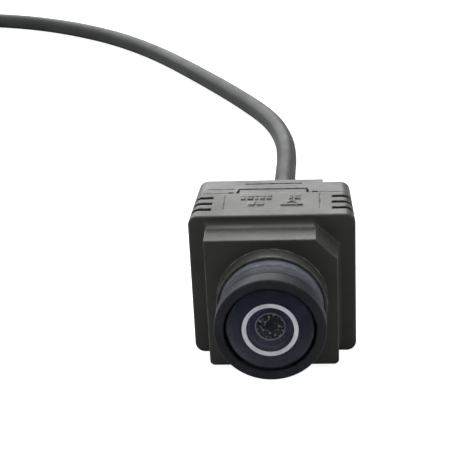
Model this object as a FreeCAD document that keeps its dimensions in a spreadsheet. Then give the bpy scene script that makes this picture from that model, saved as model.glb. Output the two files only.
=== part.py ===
import FreeCAD, Part
import math
import os
import re

import Sketcher
from FreeCAD import Placement, Rotation, Vector

# Backup camera for trucks and trailers: a square housing with a lens facing -Y, a rear cover,
# and a lead that lies on the floor, is wound into a coil and ends in a coaxial plug.
# The origin is the middle of the camera's footprint on the floor. +Y is to the rear, +Z is up.
# Sizes are in millimetres. Depths are measured from the plate's front face, to the rear unless
# the group says otherwise.

SIZES = {
    # how far one piece of stock runs into the next, and how far a cutter starts outside
    "join": 0.2, "past": 1.0,
    # housing
    "face": -8.15, "width": 26.5, "height": 24.4, "rear_width": 25.1, "corner": 1.6, "edge": 0.35,
    "wall": 1.6, "front_wall": 1.8, "seam_y": 9.3, "cover_y": 15.6, "cover_wall": 1.5, "axis": 12.5,
    # square boss that keys the camera in its bracket
    "boss_width": 20.7, "boss_low": 0.7, "boss_high": 22.7, "boss_depth": 5.6, "boss_chamfer": 3.4,
    "boss_corner": 0.8, "root_fillet": 0.6, "top_fillet": 1.3, "collar_outer": 8.65,
    "collar_inner": 8.2, "collar_height": 2.75, "collar_seat": 0.4,
    # cooling grooves over the top corners
    "groove_first": 2.75, "groove_pitch": 2.38, "groove_width": 1.0, "groove_depth": 0.8,
    "groove_inner": 9.6, "groove_drop": 6.0,
    # fine lines and raised marks on top, and the snap tongue at the seam
    "panel_half": 7.7, "panel_front": 2.6, "panel_rear": 8.6, "panel_line": 0.16, "panel_deep": 0.12,
    "mark_rise": 0.16, "tongue_half": 5.5, "tongue_front": 8.1, "tongue_rear": 11.1,
    "tongue_thick": 0.35, "tongue_drop": 0.1, "snap_gap": 0.15, "tongue_slant": 0.6,
    "notch_x": 6.9, "notch_width": 0.9, "notch_long": 0.5,
    # marks on the rear cover
    "cover_step_x": 8.2, "cover_step": 1.9, "cover_edge": 0.8, "slot_half": 4.7, "slot_depth": 13.3,
    "slot_line": 0.2, "line_left": -10.8, "line_right": -6.2, "line_depth": 11.1, "line_thin": 0.1,
    "mark_deep": 0.5, "vent_x": -7.6, "vent_z": 17.6, "vent_seat": 2.6, "vent_radius": 2.5,
    "vent_hole": 0.8, "vent_deep": 0.6, "vent_thick": 0.4,
    # lens barrel and its retaining ring, distances in front of the plate's face
    "bore": 8.15, "barrel": 8.1, "barrel_band": 7.95, "thread": 7.6, "rim": 8.46, "rim_front": 16.0,
    "rim_rear": 13.4, "band_front": 12.15, "band_rear": 10.15, "nose": 0.9, "rim_break": 0.25,
    "ring_break": 0.15, "bore_front": 6.2, "bore_middle": 5.15, "bore_rear": 3.9,
    "middle_front": 10.6, "middle_rear": 2.0, "lip_open": 7.0, "lip_break": 0.2, "lip_rear": 15.4,
    "seal_groove": 2.2, "seal_wide": 1.2, "seal_deep": 0.8, "seal_gap": 0.05,
    # the barrel behind the plate's face
    "flange": 9.4, "flange_thick": 1.2, "barrel_rear": 4.2, "barrel_tail": 6.0,
    # optics, distances in front of the plate's face
    "glass_edge": 7.15, "glass_open": 6.9, "glass_front": 15.6, "glass_back": 14.5, "dome_curve": 9.0,
    "trim_outer": 3.65, "trim_inner": 3.05, "trim_thick": 0.1, "baffle_back": 13.4,
    "baffle_mouth": 3.0, "baffle_throat": 2.05, "baffle_edge": 0.25, "second_back": 11.8,
    "third_back": 9.0, "stop_back": 8.7, "fourth_back": 6.5, "fifth_front": 5.0, "fifth_back": 3.0,
    "stop_hole": 1.2, "spacer_hole": 3.9, "wide_spacer_hole": 4.6,
    # electronics
    "holder_front": 4.2, "holder_side": 15.0, "window_side": 8.0, "filter_inset": 0.2,
    "filter_thick": 0.3,
    "sensor_side": 7.6, "sensor_thick": 0.9, "board_front": 6.5, "board_thick": 0.9,
    "board_wide": 21.6, "board_tall": 20.0, "board_gap": 1.7, "post_x": 9.2, "post_z": 8.4,
    "post_radius": 1.3, "screw_radius": 0.6, "screw_gap": 0.1, "screw_bite": 1.0, "screw_head": 1.2,
    "screw_head_thick": 0.5, "socket_half": 4.0, "socket_low": 4.0, "socket_high": 6.4,
    "header_half": 3.6, "header_low": 4.2, "header_high": 6.2, "chip_half": 2.4, "chip_low": 3.2,
    "chip_high": 8.0, "chip_thick": 0.8, "power_thick": 0.9,
    # gasket, boot and inner end of the lead
    "gasket_wide": 0.7, "gasket_deep": 0.5, "seam_chamfer": 0.25, "exit": 9.0, "neck": 6.2,
    "neck_rear": 17.0, "neck_bore": 3.4, "boot_flange": 4.6, "boot_lip": 0.7, "boot_big": 4.5,
    "boot_small": 2.95, "boot_rear": 35.12, "boot_inner": 11.8, "lead": 4.4, "lead_lap": 0.5,
    "shield_front": 10.7, "shield_inner": 1.4, "shield_outer": 2.5, "core": 0.9,
    # coil and tie
    "coil_x": -140.0, "coil_y": 184.0, "coil_outer": 28.4, "coil_inner": 19.6, "coil_low": 0.7,
    "coil_high": 9.5, "tie_thick": 0.7, "tie_from": 128.5, "tie_angle": 13.0,
    # plug, distances behind its mouth
    "plug_x": -166.2, "plug_y": 131.0, "plug_z": 5.7, "plug_half": 5.0, "plug_long": 20.0,
    "plug_corner": 1.0, "key_half": 0.8, "key_rise": 0.7, "key_long": 6.5, "mouth": 3.6,
    "mouth_deep": 8.0, "contact_tip": 4.6, "contact": 1.7, "contact_wall": 0.35,
    "contact_flange": 1.5, "insulator_inset": 1.0, "pin": 0.45, "pin_inset": 0.3, "core_end": 14.0,
    "plug_bore": 2.6, "ferrule": 2.6, "ferrule_front": 14.5, "ferrule_rear": 23.0,
    "boot_root": 4.2, "boot_knee_y": 22.0, "boot_knee": 4.0, "boot_end_y": 29.0, "boot_end": 3.0,
    # latch lever and lock slide of the plug
    "ear_y": 12.0, "ear_half": 1.1, "ear_wide": 1.1, "ear_gap": 0.1, "ear_rise": 1.0, "pivot": 0.5,
    "pivot_gap": 0.05, "pivot_z": 6.4, "lever_half": 2.0, "lever_thick": 0.9, "hook_front": 1.0,
    "hook_top": 1.8, "hook_rear": 2.4, "hook_nose": 0.2, "hook_rise": 0.8, "pad_ramp": 14.5,
    "pad_front": 16.0, "pad_rear": 18.5, "pad_rise": 0.6, "slot_y": 14.6, "slot_long": 2.4,
    "slot_tall": 5.0, "slot_gap": 0.05, "lock_deep": 2.2, "lock_grip": 0.5, "lock_head": 1.0,
}

# Route of the lead from the boot to the coil, and from the coil to the plug.
LEAD_ROUTE = [
    (0.0, 26.97, 9.0), (0.0, 36.0, 9.0), (0.0, 53.0, 2.2), (0.0, 64.5, 2.2),
    (0.2, 76.0, 2.2), (-0.6, 87.5, 2.2), (-4.0, 102.0, 2.2), (-12.0, 118.5, 2.2), (-24.0, 139.5, 2.2),
    (-38.5, 163.0, 2.2), (-53.0, 181.0, 2.2), (-68.0, 194.0, 2.2), (-83.5, 203.5, 2.2),
    (-100.0, 208.8, 2.3), (-118.0, 210.4, 2.6), (-134.0, 210.2, 2.9),
]
TAIL_ROUTE = [
    (-166.2, 179.0, 7.3), (-166.2, 172.0, 7.2), (-166.2, 166.0, 5.9), (-166.2, 160.0, 5.7),
]

# Plain raised marks on top: spans across and in depth, and the corners of a triangle with its hole.
MARK_COLUMNS = [
    (-5.1, -4.3), (-4.0, -3.1), (-2.8, -2.3), (-2.0, -1.2), (-0.9, -0.1), (2.7, 3.3), (3.6, 4.6),
]
MARK_ROWS = [(6.6, 7.2), (7.5, 8.1)]
MARK_SQUARES = [(-3.8, -2.7), (-2.4, -1.3)]
MARK_SQUARE_ROW = (4.2, 5.6)
MARK_TRIANGLE = [(1.4, 4.0), (5.0, 4.0), (3.2, 6.2)]
MARK_TRIANGLE_HOLE = [(2.3, 4.5), (4.1, 4.5), (3.2, 5.6)]

# Radii of the front and rear faces of the inner lenses; a negative one is hollow.
LENS_CURVES = {"two": (30.0, -16.0), "three": (-24.0, 18.0), "four": (14.0, 12.0), "five": (16.0, -20.0)}

# Parts on the power board: left, right, low and high.
POWER_PARTS = [(-8.4, -5.4, -3.0, 0.0), (-8.4, -6.0, 1.2, 3.0), (6.0, 8.0, -2.4, 2.4)]

# Grooves round the boot: where the first starts, their pitch and count, and the section of one
# as (distance along, depth).
RIB_FIRST = 18.4
RIB_PITCH = 2.3
RIB_COUNT = 7
RIB_SECTION = [(0.0, 0.0), (0.25, 0.45), (0.95, 0.45), (1.2, 0.0)]

# Part of the shorter run beside a corner of the route that its arc takes up.
ARC_SHARE = 0.45

# Largest length and volume that count as nothing.
NEAR = 1e-4
NO_VOLUME = 1e-6

doc = FreeCAD.newDocument("backup_camera")
sheet = doc.addObject("Spreadsheet::Sheet", "dims")
nodes = []


def fill_sheet():
    for row, (name, value) in enumerate(SIZES.items(), start=1):
        sheet.set(f"A{row}", name)
        sheet.set(f"B{row}", str(value))
        sheet.setAlias(f"B{row}", name)
    doc.recompute()


def formula(text):
    """Write a formula of size names as an expression on the sheet."""
    return re.sub(r"[a-z_]+", lambda word: f"dims.{word[0]}" if word[0] in SIZES else word[0], str(text))


def bind(thing, **formulas):
    for name, text in formulas.items():
        thing.setExpression(name.replace("__", "."), formula(text))


def place(thing, x="0", y="0", z="0"):
    bind(thing, Placement__Base__x=x, Placement__Base__y=y, Placement__Base__z=z)


def keep(thing, label):
    thing.Label = label
    nodes.append(thing)
    return thing


def new_body(label, x="0", y="face", z="0"):
    body = doc.addObject("PartDesign::Body", label)
    place(body, x, y, z)
    return keep(body, label)


def draw(body, plane, outlines, offset="0"):
    """Sketch closed outlines, each a list of corner formulas or one (centre, centre, radius) circle."""
    sketch = body.newObject("Sketcher::SketchObject", body.Label + "_sketch")
    support = [item for item in body.Origin.OriginFeatures if item.Role == plane][0]
    sketch.AttachmentSupport = [(support, "")]
    sketch.MapMode = "FlatFace"
    bind(sketch, AttachmentOffset__Base__z=offset)
    for outline in outlines:
        if isinstance(outline[0], str):
            draw_circle(sketch, *outline)
        else:
            draw_polygon(sketch, outline)
    return sketch


def draw_circle(sketch, across, up, radius):
    index = sketch.addGeometry(Part.Circle(Vector(0, 0, 0), Vector(0, 0, 1), 1), False)
    for kind, text in (("DistanceX", across), ("DistanceY", up)):
        number = sketch.addConstraint(Sketcher.Constraint(kind, -1, 1, index, 3, 1.0))
        sketch.setExpression(f"Constraints[{number}]", formula(text))
    number = sketch.addConstraint(Sketcher.Constraint("Radius", index, 1.0))
    sketch.setExpression(f"Constraints[{number}]", formula(radius))


def draw_polygon(sketch, corners):
    count = len(corners)
    first = sketch.GeometryCount
    angles = [step * math.tau / count for step in range(count)]
    corners_at_first = [Vector(math.cos(angle), math.sin(angle), 0) for angle in angles]
    for step in range(count):
        line = Part.LineSegment(corners_at_first[step], corners_at_first[(step + 1) % count])
        sketch.addGeometry(line, False)
    for step in range(count):
        following = first + (step + 1) % count
        sketch.addConstraint(Sketcher.Constraint("Coincident", first + step, 2, following, 1))
    for step, (across, up) in enumerate(corners):
        for kind, text in (("DistanceX", across), ("DistanceY", up)):
            number = sketch.addConstraint(Sketcher.Constraint(kind, first + step, 1, 1.0))
            sketch.setExpression(f"Constraints[{number}]", formula(text))


def rectangle(left, right, low, high):
    return [(left, low), (right, low), (right, high), (left, high)]


def pad(body, sketch, length):
    feature = body.newObject("PartDesign::Pad", body.Label + "_pad")
    feature.Profile = sketch
    bind(feature, Length=length)
    return feature


def pocket(body, sketch, length):
    """Cut a pocket and make sure that it removed material."""
    doc.recompute()
    before = body.Shape.Volume
    feature = body.newObject("PartDesign::Pocket", body.Label + "_pocket")
    feature.Profile = sketch
    bind(feature, Length=length)
    doc.recompute()
    if body.Shape.Volume > before - NO_VOLUME:
        raise RuntimeError(f"{body.Label}: a pocket cuts nothing")
    return feature


def span_pad(body, outlines, front, rear):
    """Pad outlines in X and Z over the stretch from front to rear along Y."""
    return pad(body, draw(body, "XZ_Plane", outlines, f"-({rear})"), f"({rear}) - ({front})")


def span_pocket(body, outlines, front, rear):
    return pocket(body, draw(body, "XZ_Plane", outlines, f"-({front})"), f"({rear}) - ({front})")


def soften(body, radius, chosen, kind="PartDesign::Fillet"):
    """Round or chamfer the edges that the test chooses."""
    doc.recompute()
    tip = body.Tip
    names = [f"Edge{number}" for number, edge in enumerate(tip.Shape.Edges, start=1) if chosen(edge)]
    if not names:
        raise RuntimeError(f"{body.Label}: no edge to soften")
    feature = body.newObject(kind, body.Label + "_edge")
    feature.Base = (tip, names)
    bind(feature, **{"Radius" if kind.endswith("Fillet") else "Size": radius})
    doc.recompute()
    return feature


def turned(label, outline, x="0", y="face", z="axis"):
    """A piece turned about an axis along Y: corners are (distance along Y, radius)."""
    body = new_body(label, x, y, z)
    feature = body.newObject("PartDesign::Revolution", label + "_turning")
    feature.Profile = draw(body, "YZ_Plane", [outline])
    feature.ReferenceAxis = (feature.Profile[0], ["H_Axis"])
    feature.Angle = 360
    return body


def block(label, sides, y="face", z="axis"):
    """A rectangular piece: sides are (half width in X, front, rear, low, high) formulas."""
    half, front, rear, low, high = sides
    body = new_body(label, "0", y, z)
    span_pad(body, [rectangle(f"-({half})", half, low, high)], front, rear)
    return body


def primitive(kind, label, x="0", y="0", z="0", **sizes):
    thing = doc.addObject(kind, label)
    bind(thing, **sizes)
    place(thing, x, y, z)
    return thing


def cylinder(label, radius, front, rear):
    """A cylinder on the lens axis, from front to rear along Y."""
    thing = doc.addObject("Part::Cylinder", label)
    thing.Placement = Placement(Vector(0, 0, 0), Rotation(Vector(1, 0, 0), -90))
    bind(thing, Radius=radius, Height=f"({rear}) - ({front})")
    place(thing, "0", f"face + ({front})", "axis")
    return thing


def combine(kind, label, base, tool):
    thing = doc.addObject(kind, label)
    thing.Base = base
    thing.Tool = tool
    return thing


def lens_element(number, radius, front, rear):
    """A round lens: a positive curve bulges out of that side, a negative one is hollow."""
    label = "lens_element_" + number
    shape = cylinder(label + "_blank", radius, front, rear)
    for side, end, curve in zip((1, -1), (front, rear), LENS_CURVES[number]):
        centre = f"face + ({end}) + ({side * curve})"
        ball_name = f"{label}_ball_{side % 3}"
        ball = primitive("Part::Sphere", ball_name, "0", centre, "axis", Radius=str(abs(curve)))
        kind = "Part::Common" if curve > 0 else "Part::Cut"
        shape = combine(kind, f"{label}_cut_{side % 3}", shape, ball)
    return keep(shape, label)


def on_plane(edge, axis, value):
    box = edge.BoundBox
    low, high = {"x": (box.XMin, box.XMax), "y": (box.YMin, box.YMax), "z": (box.ZMin, box.ZMax)}[axis]
    return abs(low - value) < NEAR and abs(high - value) < NEAR


# ---------------------------------------------------------------- housing

def taper(depth):
    """Half width of the body at a depth behind the plate's front face."""
    return f"(width / 2 - (width - rear_width) / 2 * ({depth}) / cover_y)"


def body_outline(front, rear):
    """Plan outline of the tapered body between two depths."""
    near, far = taper(front), taper(rear)
    return [(f"-{near}", front), (near, front), (far, rear), (f"-{far}", rear)]


def boss_outline():
    half = "boss_width / 2"
    return [
        (f"-({half})", "boss_low"), (half, "boss_low"), (half, "boss_high - boss_chamfer"),
        (f"{half} - boss_chamfer", "boss_high"), (f"-({half})", "boss_high"),
    ]


def groove_outlines():
    """Section of a cooling groove over the left and the right top corner."""
    outlines = []
    for sign in (1, -1):
        inner = f"{sign} * groove_inner"
        side = f"{sign} * ({taper('cover_y / 3')} - groove_depth)"
        outside = f"{sign} * (width / 2 + past)"
        outlines.append([
            (inner, "height + past"), (inner, "height - groove_depth"), (side, "height - groove_depth"),
            (side, "height - groove_drop"), (outside, "height - groove_drop"), (outside, "height + past"),
        ])
    return outlines


def gasket_outlines():
    """Outer and inner edge of the gasket in the housing's rear rim."""
    ring = f"{taper('seam_y')} - wall / 2"
    outlines = []
    for grow in ("gasket_wide / 2", "-gasket_wide / 2"):
        half = f"{ring} + ({grow})"
        low, high = f"wall / 2 - ({grow})", f"height - wall / 2 + ({grow})"
        outlines.append(rectangle(f"-({half})", half, low, high))
    return outlines


def runs_back(edge):
    """A long edge along Y."""
    return edge.BoundBox.YLength > SIZES["seam_y"] / 2


def front_housing():
    body = new_body("front_housing")
    pad(body, draw(body, "XY_Plane", [body_outline("0", "seam_y")]), "height")
    soften(body, "corner", runs_back)
    soften(body, "edge", lambda edge: on_plane(edge, "y", 0))
    span_pad(body, [boss_outline()], "-boss_depth", "join")
    soften_boss(body)
    collar_front = "-boss_depth - collar_height"
    span_pad(body, [("0", "axis", "collar_outer")], collar_front, "-boss_depth + join")
    collar_face = -SIZES["boss_depth"] - SIZES["collar_height"]
    soften(body, "edge / 2", lambda edge: on_plane(edge, "y", collar_face))
    inside = f"{taper('seam_y')} - wall"
    span_pocket(body, [rectangle(f"-({inside})", inside, "wall", "height - wall")], "front_wall", "seam_y")
    span_pocket(body, [("0", "axis", "bore")], "-boss_depth - join", "front_wall + join")
    collar_bore = ("0", "axis", "collar_inner")
    span_pocket(body, [collar_bore], f"{collar_front} - past", "-boss_depth + collar_seat")
    for count in range(3):
        start = f"groove_first + {count} * groove_pitch - groove_width / 2"
        span_pocket(body, groove_outlines(), start, f"{start} + groove_width")
    span_pocket(body, gasket_outlines(), "seam_y - gasket_deep", "seam_y")
    mark_top(body)


def soften_boss(body):
    """Round the lower corners, the root and the front edge of the square boss."""
    front, top = -SIZES["boss_depth"], SIZES["boss_high"]
    side = SIZES["boss_width"] / 2

    def lower_corner(edge):
        box = edge.BoundBox
        return abs(box.YMin - front) < NEAR and box.YLength > -front / 2 and box.ZMax < top / 2

    def root(edge):
        box = edge.BoundBox
        beside = abs(edge.CenterOfMass.x) < side + SIZES["join"]
        above = box.ZMin > SIZES["boss_low"] - SIZES["join"]
        return on_plane(edge, "y", 0) and above and box.ZMax < top + SIZES["join"] and beside

    soften(body, "boss_corner", lower_corner)
    soften(body, "top_fillet", lambda edge: on_plane(edge, "y", 0) and on_plane(edge, "z", top))
    soften(body, "root_fillet", root)
    soften(body, "edge / 2", lambda edge: on_plane(edge, "y", front))


def mark_top(body):
    """Fine lines, rows of plain raised marks, and the tongue that snaps into the cover."""
    lines = [rectangle(f"{sign} * panel_half - panel_line / 2", f"{sign} * panel_half + panel_line / 2",
                       "panel_front", "panel_rear") for sign in (1, -1)]
    pocket(body, draw(body, "XY_Plane", lines, "height + past"), "past + panel_deep")
    tongue = rectangle("-tongue_half", "tongue_half", "tongue_front", "tongue_rear")
    pad(body, draw(body, "XY_Plane", [tongue], "height - tongue_drop - tongue_thick"), "tongue_thick")
    spans = [(*column, *row) for column in MARK_COLUMNS for row in MARK_ROWS]
    spans += [(*column, *MARK_SQUARE_ROW) for column in MARK_SQUARES]
    marks = [rectangle(*map(str, span)) for span in spans]
    for corners in (MARK_TRIANGLE, MARK_TRIANGLE_HOLE):
        marks.append([(str(across), str(depth)) for across, depth in corners])
    pad(body, draw(body, "XY_Plane", marks, "height - join"), "join + mark_rise")


def housing_gasket():
    body = new_body("housing_gasket")
    span_pad(body, gasket_outlines(), "seam_y - gasket_deep", "seam_y")


def rear_cover():
    body = new_body("rear_cover")
    pad(body, draw(body, "XY_Plane", [body_outline("seam_y", "cover_y")]), "height")
    soften(body, "corner", runs_back)
    step = rectangle("cover_step_x", "width", "-past", "height + past")
    span_pocket(body, [step], "cover_y - cover_step", "cover_y + past")
    soften(body, "cover_edge", lambda edge: on_plane(edge, "y", SIZES["cover_y"])
           and edge.CenterOfMass.x < SIZES["cover_step_x"] - SIZES["join"])
    soften(body, "seam_chamfer", lambda edge: on_plane(edge, "y", SIZES["seam_y"]), "PartDesign::Chamfer")
    inside = f"{taper('cover_y')} - cover_wall"
    inside_rear = "cover_y - cover_step - cover_wall / 2"
    pocket_outline = rectangle(f"-({inside})", inside, "cover_wall", "height - cover_wall")
    span_pocket(body, [pocket_outline], "seam_y", inside_rear)
    gap = "tongue_half + snap_gap"
    window = [(f"-({gap}) - tongue_slant", "seam_y - past"), (f"{gap} + tongue_slant", "seam_y - past"),
              (gap, "tongue_rear + snap_gap"), (f"-({gap})", "tongue_rear + snap_gap")]
    pocket(body, draw(body, "XY_Plane", [window], "height + past"),
           "past + tongue_drop + tongue_thick + snap_gap")
    notches = [rectangle(f"{sign} * notch_x - notch_width / 2", f"{sign} * notch_x + notch_width / 2",
                         "seam_y - past", "seam_y + notch_long") for sign in (1, -1)]
    slot = rectangle("-slot_half", "slot_half", "slot_depth - slot_line", "slot_depth + slot_line")
    line = rectangle("line_left", "line_right", "line_depth - line_thin", "line_depth + line_thin")
    pocket(body, draw(body, "XY_Plane", notches + [slot, line], "height + past"), "past + mark_deep")
    span_pad(body, [("0", "exit", "neck")], "cover_y - cover_step - join", "neck_rear")
    soften(body, "edge", lambda edge: on_plane(edge, "y", SIZES["neck_rear"]))
    span_pocket(body, [("0", "exit", "neck_bore")], "seam_y + past", "neck_rear + past")
    span_pocket(body, [("vent_x", "vent_z", "vent_seat")], "cover_y - vent_deep", "cover_y + past")
    span_pocket(body, [("vent_x", "vent_z", "vent_hole")], "seam_y + past", "cover_y")


def vent_membrane():
    front, rear = "cover_y - vent_deep", "cover_y - vent_deep + vent_thick"
    outline = [(front, "0"), (front, "vent_radius"), (rear, "vent_radius"), (rear, "0")]
    turned("vent_membrane", outline, x="vent_x", z="vent_z")


# ---------------------------------------------------------------- lens

def lens_barrel():
    turned("lens_barrel", [
        ("-glass_back - nose", "glass_edge"), ("-glass_back - nose", "thread"), ("-rim_rear", "thread"),
        ("-rim_rear", "barrel"), ("-band_front", "barrel"), ("-band_front", "barrel_band"),
        ("-band_rear", "barrel_band"), ("-band_rear", "barrel"),
        ("-seal_groove - seal_wide", "barrel"), ("-seal_groove - seal_wide", "barrel - seal_deep"),
        ("-seal_groove", "barrel - seal_deep"), ("-seal_groove", "barrel"), ("front_wall", "barrel"),
        ("front_wall", "flange"), ("front_wall + flange_thick", "flange"),
        ("front_wall + flange_thick", "barrel_tail"), ("barrel_rear", "barrel_tail"),
        ("barrel_rear", "bore_rear"), ("-middle_rear", "bore_rear"),
        ("-middle_rear", "bore_middle"), ("-middle_front", "bore_middle"), ("-middle_front", "bore_front"),
        ("-glass_back", "bore_front"), ("-glass_back", "glass_edge"),
    ])


def retaining_ring():
    turned("retaining_ring", [
        ("-rim_rear", "thread"), ("-rim_rear", "rim - ring_break"), ("-rim_rear - ring_break", "rim"),
        ("-rim_front + rim_break", "rim"), ("-rim_front", "rim - rim_break"),
        ("-rim_front", "lip_open + lip_break"), ("-rim_front + lip_break", "lip_open"),
        ("-lip_rear", "lip_open"), ("-lip_rear", "thread"),
    ])


def front_glass():
    dome = "dome_curve - sqrt(dome_curve ^ 2 - glass_open ^ 2)"
    blank = cylinder("glass_blank", "glass_open", f"-glass_front - ({dome})", "-glass_back")
    centre = f"face - glass_front - ({dome}) + dome_curve"
    ball = primitive("Part::Sphere", "glass_ball", "0", centre, "axis", Radius="dome_curve")
    crown = combine("Part::Common", "glass_crown", blank, ball)
    shoulder = cylinder("glass_shoulder", "glass_edge", "-lip_rear", "-glass_back")
    keep(combine("Part::Fuse", "front_glass", crown, shoulder), "front_glass")


def ring(label, inner, outer, front, rear):
    turned(label, [(front, inner), (front, outer), (rear, outer), (rear, inner)])


def o_ring(label, centre, across):
    thing = doc.addObject("Part::Torus", label)
    thing.Placement = Placement(Vector(0, 0, 0), Rotation(Vector(1, 0, 0), -90))
    bind(thing, Radius1=centre, Radius2="seal_deep / 2")
    place(thing, "0", f"face + ({across})", "axis")
    keep(thing, label)


def make_lens():
    lens_barrel()
    retaining_ring()
    front_glass()
    ring("trim_ring", "trim_inner", "trim_outer", "-glass_back", "-glass_back + trim_thick")
    turned("lens_baffle", [
        ("-glass_back + trim_thick", "baffle_mouth"), ("-glass_back + trim_thick", "bore_front"),
        ("-baffle_back", "bore_front"), ("-baffle_back", "baffle_throat"),
        ("-baffle_back - baffle_edge", "baffle_throat"),
    ])
    lens_element("two", "bore_front", "-baffle_back", "-second_back")
    ring("front_spacer", "wide_spacer_hole", "bore_front", "-second_back", "-middle_front")
    lens_element("three", "bore_middle", "-middle_front", "-third_back")
    ring("aperture_stop", "stop_hole", "bore_middle", "-third_back", "-stop_back")
    lens_element("four", "bore_middle", "-stop_back", "-fourth_back")
    ring("rear_spacer", "spacer_hole", "bore_middle", "-fourth_back", "-fifth_front")
    lens_element("five", "bore_middle", "-fifth_front", "-fifth_back")
    ring("lens_retainer", "spacer_hole", "bore_middle", "-fifth_back", "-middle_rear")
    o_ring("lens_o_ring", "bore - seal_deep / 2 - seal_gap", "-seal_groove - seal_wide / 2")


# ---------------------------------------------------------------- electronics

def at_corners(across, up, radius):
    return [(f"{x} * ({across})", f"{z} * ({up})", radius) for x in (-1, 1) for z in (-1, 1)]


def corner_posts(label, radius, front, rear, hole=None):
    """Four round posts at the corners of the boards, as one node."""
    body = new_body(label, "0", "face", "axis")
    for across, up, size in at_corners("post_x", "post_z", radius):
        if hole:
            span_pad(body, [(across, up, size), (across, up, hole)], front, rear)
        else:
            span_pad(body, [(across, up, size)], front, rear)
    return body


def board(label, front):
    rear = f"{front} + board_thick"
    body = block(label, ("board_wide / 2", front, rear, "-board_tall / 2", "board_tall / 2"))
    holes = at_corners("post_x", "post_z", "screw_radius + screw_gap")
    span_pocket(body, holes, f"{front} - past", f"{rear} + past")


def make_electronics():
    square = "window_side / 2"
    holder = block("sensor_holder", ("holder_side / 2", "holder_front", "board_front", "-holder_side / 2",
                                     "holder_side / 2"))
    inner = rectangle(f"-({square})", square, f"-({square})", square)
    span_pocket(holder, [inner], "holder_front - past", "board_front + past")
    filter_front = "holder_front + filter_inset"
    block("infrared_filter", (square, filter_front, f"{filter_front} + filter_thick",
                              f"-({square})", square))
    sensor = "sensor_side / 2"
    block("image_sensor", (sensor, "board_front - sensor_thick", "board_front", f"-({sensor})", sensor))
    board("sensor_board", "board_front")
    second = "board_front + board_thick + board_gap"
    corner_posts("board_posts", "post_radius", "front_wall", "board_front", "screw_radius")
    first_back = "board_front + board_thick"
    corner_posts("board_spacers", "post_radius", first_back, second, "screw_radius + screw_gap")
    halfway = f"{first_back} + board_gap / 2"
    block("board_socket", ("socket_half", first_back, halfway, "socket_low", "socket_high"))
    block("board_header", ("header_half", halfway, second, "header_low", "header_high"))
    board("power_board", second)
    back = f"{second} + board_thick"
    screws = corner_posts("board_screws", "screw_radius", "front_wall + screw_bite", back)
    for across, up, size in at_corners("post_x", "post_z", "screw_head"):
        span_pad(screws, [(across, up, size)], back, f"{back} + screw_head_thick")
    block("serializer_chip", ("chip_half", back, f"{back} + chip_thick", "chip_low", "chip_high"))
    power = new_body("power_parts", "0", "face", "axis")
    for sides in POWER_PARTS:
        span_pad(power, [rectangle(*map(str, sides))], back, f"{back} + power_thick")


# ---------------------------------------------------------------- boot and inner end of the lead

def cable_boot():
    """Moulded boot: a flange inside the cover, a shoulder outside, and ribs on a long taper."""
    outline = [("boot_inner", "lead / 2"), ("boot_inner", "boot_flange"),
               ("boot_inner + boot_lip", "boot_flange"), ("boot_inner + boot_lip", "neck_bore"),
               ("neck_rear", "neck_bore"), ("neck_rear", "boot_big")]
    slope = "(boot_big - boot_small) / (boot_rear - neck_rear)"
    for step in range(RIB_COUNT):
        for ahead, cut in RIB_SECTION:
            along = f"{RIB_FIRST + RIB_PITCH * step + ahead:.2f}"
            outline.append((along, f"boot_big - {slope} * ({along} - neck_rear) - {cut}"))
    outline += [("boot_rear", "boot_small"), ("boot_rear", "lead / 2")]
    turned("cable_boot", outline, z="exit")


def make_lead_end():
    cable_boot()
    front = "boot_inner - lead_lap"
    end_outline = [(front, "0"), (front, "lead / 2"), ("boot_rear", "lead / 2"), ("boot_rear", "0")]
    turned("cable_end", end_outline, z="exit")
    ferrule = [("shield_front", "shield_inner"), ("shield_front", "shield_outer"), (front, "shield_outer"),
               (front, "shield_inner")]
    turned("shield_ferrule", ferrule, z="exit")
    board_back = "board_front + 2 * board_thick + board_gap"
    turned("signal_core", [(board_back, "0"), (board_back, "core"), (front, "core"), (front, "0")], z="exit")


# ---------------------------------------------------------------- free lead, coil and tie

def corner_radius(before, corner, after):
    """Radius of the arc at a corner of the route, and the turn there."""
    turn = (corner - before).getAngle(after - corner)
    shorter = min(before.distanceToPoint(corner), corner.distanceToPoint(after))
    return ARC_SHARE * shorter / math.tan(turn / 2), turn


def route_wire(points):
    """Straight runs joined by tangent arcs."""
    corners = [Vector(*point) for point in points]
    edges = []
    start = corners[0]
    for before, corner, after in zip(corners, corners[1:], corners[2:]):
        radius, turn = corner_radius(before, corner, after)
        setback = radius * math.tan(turn / 2)
        into = (corner - before).normalize()
        out = (after - corner).normalize()
        enter = corner - into * setback
        leave = corner + out * setback
        inward = (out - into).normalize()
        middle = corner + inward * (radius / math.cos(turn / 2) - radius)
        edges.append(Part.LineSegment(start, enter).toShape())
        edges.append(Part.Arc(enter, middle, leave).toShape())
        start = leave
    edges.append(Part.LineSegment(start, corners[-1]).toShape())
    return Part.Wire(edges)


def lead_tube(label, points):
    wire = route_wire(points)
    start, ahead = Vector(*points[0]), Vector(*points[1])
    radius = SIZES["lead"] / 2
    section = Part.Wire(Part.Circle(start, ahead - start, radius).toShape())
    thing = doc.addObject("Part::Feature", label)
    thing.Shape = wire.makePipeShell([section], True, False)
    expected = math.pi * radius ** 2 * wire.Length
    corners = [Vector(*point) for point in points]
    radii = [corner_radius(*three)[0] for three in zip(corners, corners[1:], corners[2:])]
    print(f"{label}: length {wire.Length:.1f} mm, volume {thing.Shape.Volume:.1f} of {expected:.1f} mm3")
    print(f"{label}: radii " + ", ".join(f"{value:.0f}" for value in radii))
    keep(thing, label)


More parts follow.
